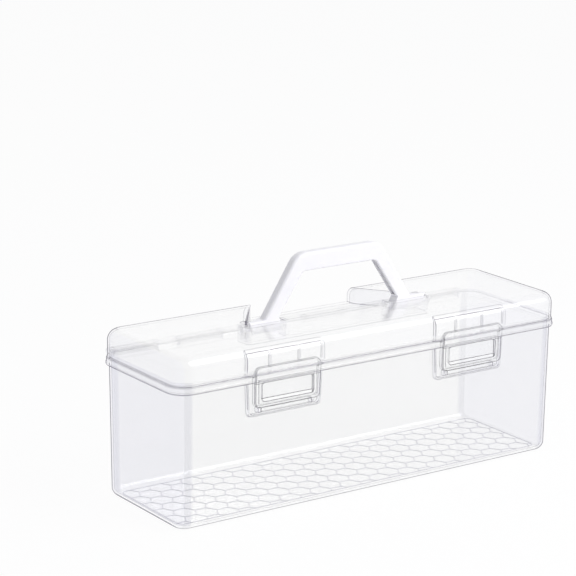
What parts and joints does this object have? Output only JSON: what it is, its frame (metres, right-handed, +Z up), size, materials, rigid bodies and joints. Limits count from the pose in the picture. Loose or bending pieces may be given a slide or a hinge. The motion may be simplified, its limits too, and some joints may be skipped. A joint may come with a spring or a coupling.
{
  "type": "paint bottle storage box",
  "caption": "Clear long carry box with a rounded hinged lid, a folding handle in a recess and snap levers on the front, for paint bottles.",
  "frame": {"origin": "centre of the tub's flat underside, on the surface it stands on", "axes": "+X along the box to the right seen from the front, +Y to the rear hinge, +Z up"},
  "size_m": [0.375, 0.1311, 0.188],
  "materials": {
    "clear_tub": "clear glossy moulded plastic",
    "clear_lid": "clear glossy moulded plastic, slightly milky",
    "milky_handle": "milky white satin moulded plastic",
    "clear_latch": "clear glossy moulded plastic"
  },
  "bodies": {
    "tub": {"tub": "clear_tub"},
    "lid": {"lid": "clear_lid"},
    "handle": {"handle": "milky_handle"},
    "left_latch": {"left_latch": "clear_latch"},
    "right_latch": {"right_latch": "clear_latch"}
  },
  "joints": [
    {"name": "lid_hinge", "type": "hinge", "parent": "tub", "child": "lid", "pos_m": [0, 0.0622, 0.1125], "axis": [-1, 0, 0], "range_deg": [0, 110]},
    {"name": "handle_pivot", "type": "hinge", "parent": "lid", "child": "handle", "pos_m": [0, 0.001, 0.1318], "axis": [-1, 0, 0], "range_deg": [0, 90]},
    {"name": "left_latch_pivot", "type": "hinge", "parent": "tub", "child": "left_latch", "pos_m": [-0.0902, -0.0582, 0.0868], "axis": [1, 0, 0], "range_deg": [0, 95]},
    {"name": "right_latch_pivot", "type": "hinge", "parent": "tub", "child": "right_latch", "pos_m": [0.0902, -0.0582, 0.0868], "axis": [1, 0, 0], "range_deg": [0, 95]}
  ]
}
